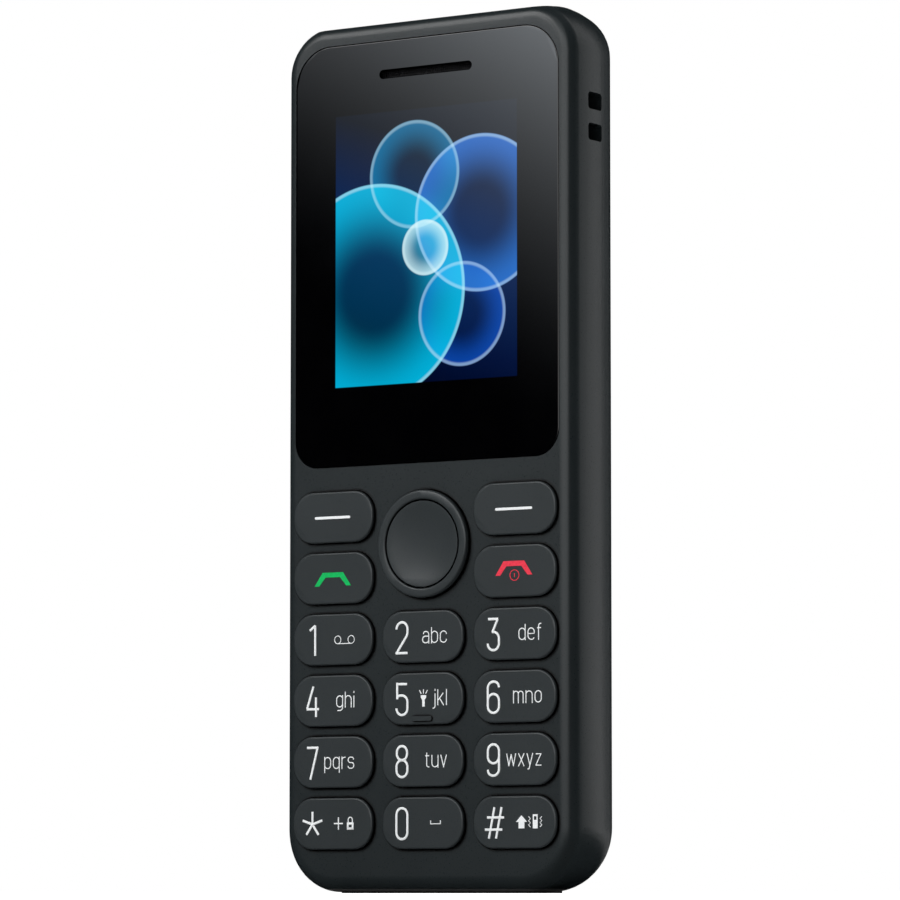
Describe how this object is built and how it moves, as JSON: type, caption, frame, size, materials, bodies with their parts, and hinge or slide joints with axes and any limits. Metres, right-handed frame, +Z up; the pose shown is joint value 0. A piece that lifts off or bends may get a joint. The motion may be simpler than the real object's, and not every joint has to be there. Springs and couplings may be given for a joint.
{
  "type": "mobile phone",
  "caption": "Upright candybar mobile phone with a glossy black screen panel, a raised navigation ring and a pill-key number pad, with a removable rear cover and battery.",
  "frame": {"origin": "middle of the bottom of the whole phone, on the surface that it stands on", "axes": "+Z up the phone's length, the face looks along -Y, +X to the viewer's right"},
  "size_m": [0.0446, 0.0138, 0.1108],
  "materials": {
    "shell_plastic": "fine-grained matte charcoal",
    "lens_black": "polished black, clear over the display",
    "adhesive": "matte black film",
    "display_glass": "lit display",
    "white_plastic": "moulded white",
    "black_mesh": "woven black mesh",
    "black_plastic": "moulded black",
    "key_plastic": "fine-grained matte charcoal",
    "silicone": "translucent grey silicone",
    "spring_steel": "stamped steel",
    "board_green": "solder-masked board",
    "battery_wrap": "grey wrapped cell",
    "tungsten": "dense sintered metal",
    "lamp_yellow": "lamp package",
    "clear_plastic": "clear moulded lens",
    "copper": "bare copper film"
  },
  "bodies": {
    "phone_body": {"front_shell": "shell_plastic", "screen_lens": "lens_black", "lens_gasket": "adhesive", "display_panel": "display_glass", "display_frame": "white_plastic", "earpiece_mesh": "black_mesh", "earpiece": "black_plastic", "chassis": "black_plastic", "loudspeaker": "black_plastic", "headphone_socket": "black_plastic", "battery_contacts": "black_plastic", "keypad_mat": "silicone", "dome_switches": "spring_steel", "shield_cans": "spring_steel", "chassis_screws": "spring_steel", "sim_sockets": "spring_steel", "memory_card_socket": "spring_steel", "vibration_motor": "spring_steel", "charging_socket": "spring_steel", "microphone": "spring_steel", "main_board": "board_green", "torch_led": "lamp_yellow", "torch_lens": "clear_plastic", "antenna": "copper"},
    "rear_cover": {"rear_cover": "shell_plastic", "speaker_mesh": "black_mesh"},
    "battery": {"battery": "battery_wrap"},
    "nav_carrier": {"nav_carrier": "key_plastic"},
    "nav_ring": {"nav_ring": "key_plastic"},
    "centre_key": {"centre_key": "key_plastic"},
    "vibration_weight": {"vibration_weight": "tungsten"},
    "soft_key_left": {"soft_key_left": "key_plastic"},
    "soft_key_right": {"soft_key_right": "key_plastic"},
    "call_key": {"call_key": "key_plastic"},
    "end_key": {"end_key": "key_plastic"},
    "key_0": {"key_0": "key_plastic"},
    "key_1": {"key_1": "key_plastic"},
    "key_2": {"key_2": "key_plastic"},
    "key_3": {"key_3": "key_plastic"},
    "key_4": {"key_4": "key_plastic"},
    "key_5": {"key_5": "key_plastic"},
    "key_6": {"key_6": "key_plastic"},
    "key_7": {"key_7": "key_plastic"},
    "key_8": {"key_8": "key_plastic"},
    "key_9": {"key_9": "key_plastic"},
    "key_star": {"key_star": "key_plastic"},
    "key_hash": {"key_hash": "key_plastic"}
  },
  "joints": [
    {"name": "soft_key_left_press", "type": "slide", "parent": "phone_body", "child": "soft_key_left", "axis": [0, 1, 0], "range_m": [0, 0.0003], "stiffness_N_per_m": 2500, "springref_m": -0.0001},
    {"name": "soft_key_right_press", "type": "slide", "parent": "phone_body", "child": "soft_key_right", "axis": [0, 1, 0], "range_m": [0, 0.0003], "stiffness_N_per_m": 2500, "springref_m": -0.0001},
    {"name": "call_key_press", "type": "slide", "parent": "phone_body", "child": "call_key", "axis": [0, 1, 0], "range_m": [0, 0.0003], "stiffness_N_per_m": 2500, "springref_m": -0.0001},
    {"name": "end_key_press", "type": "slide", "parent": "phone_body", "child": "end_key", "axis": [0, 1, 0], "range_m": [0, 0.0003], "stiffness_N_per_m": 2500, "springref_m": -0.0001},
    {"name": "key_0_press", "type": "slide", "parent": "phone_body", "child": "key_0", "axis": [0, 1, 0], "range_m": [0, 0.0003], "stiffness_N_per_m": 2500, "springref_m": -0.0001},
    {"name": "key_1_press", "type": "slide", "parent": "phone_body", "child": "key_1", "axis": [0, 1, 0], "range_m": [0, 0.0003], "stiffness_N_per_m": 2500, "springref_m": -0.0001},
    {"name": "key_2_press", "type": "slide", "parent": "phone_body", "child": "key_2", "axis": [0, 1, 0], "range_m": [0, 0.0003], "stiffness_N_per_m": 2500, "springref_m": -0.0001},
    {"name": "key_3_press", "type": "slide", "parent": "phone_body", "child": "key_3", "axis": [0, 1, 0], "range_m": [0, 0.0003], "stiffness_N_per_m": 2500, "springref_m": -0.0001},
    {"name": "key_4_press", "type": "slide", "parent": "phone_body", "child": "key_4", "axis": [0, 1, 0], "range_m": [0, 0.0003], "stiffness_N_per_m": 2500, "springref_m": -0.0001},
    {"name": "key_5_press", "type": "slide", "parent": "phone_body", "child": "key_5", "axis": [0, 1, 0], "range_m": [0, 0.0003], "stiffness_N_per_m": 2500, "springref_m": -0.0001},
    {"name": "key_6_press", "type": "slide", "parent": "phone_body", "child": "key_6", "axis": [0, 1, 0], "range_m": [0, 0.0003], "stiffness_N_per_m": 2500, "springref_m": -0.0001},
    {"name": "key_7_press", "type": "slide", "parent": "phone_body", "child": "key_7", "axis": [0, 1, 0], "range_m": [0, 0.0003], "stiffness_N_per_m": 2500, "springref_m": -0.0001},
    {"name": "key_8_press", "type": "slide", "parent": "phone_body", "child": "key_8", "axis": [0, 1, 0], "range_m": [0, 0.0003], "stiffness_N_per_m": 2500, "springref_m": -0.0001},
    {"name": "key_9_press", "type": "slide", "parent": "phone_body", "child": "key_9", "axis": [0, 1, 0], "range_m": [0, 0.0003], "stiffness_N_per_m": 2500, "springref_m": -0.0001},
    {"name": "key_star_press", "type": "slide", "parent": "phone_body", "child": "key_star", "axis": [0, 1, 0], "range_m": [0, 0.0003], "stiffness_N_per_m": 2500, "springref_m": -0.0001},
    {"name": "key_hash_press", "type": "slide", "parent": "phone_body", "child": "key_hash", "axis": [0, 1, 0], "range_m": [0, 0.0003], "stiffness_N_per_m": 2500, "springref_m": -0.0001},
    {"name": "centre_key_press", "type": "slide", "parent": "phone_body", "child": "centre_key", "axis": [0, 1, 0], "range_m": [0, 0.0003], "stiffness_N_per_m": 2500, "springref_m": -0.0001},
    {"name": "nav_up_down", "type": "hinge", "parent": "phone_body", "child": "nav_carrier", "pos_m": [0, -0.00402, 0.04376], "axis": [1, 0, 0], "range_deg": [-1.5, 1.5], "stiffness_Nm_per_rad": 0.2},
    {"name": "nav_left_right", "type": "hinge", "parent": "nav_carrier", "child": "nav_ring", "pos_m": [0, -0.00428, 0.04376], "axis": [0, 0, 1], "range_deg": [-1.5, 1.5], "stiffness_Nm_per_rad": 0.2},
    {"name": "rear_cover_off", "type": "slide", "parent": "phone_body", "child": "rear_cover", "axis": [0, 1, 0], "range_m": [0, 0.04]},
    {"name": "battery_out", "type": "slide", "parent": "phone_body", "child": "battery", "axis": [0, 1, 0], "range_m": [0, 0.02]},
    {"name": "vibration_spin", "type": "hinge", "parent": "phone_body", "child": "vibration_weight", "pos_m": [0.0125, 0.00317, 0.06666], "axis": [1, 0, 0], "continuous": true}
  ],
  "couplings": [
    {"joint": "battery_out", "follows": "rear_cover_off", "ratio": 0.5}
  ]
}
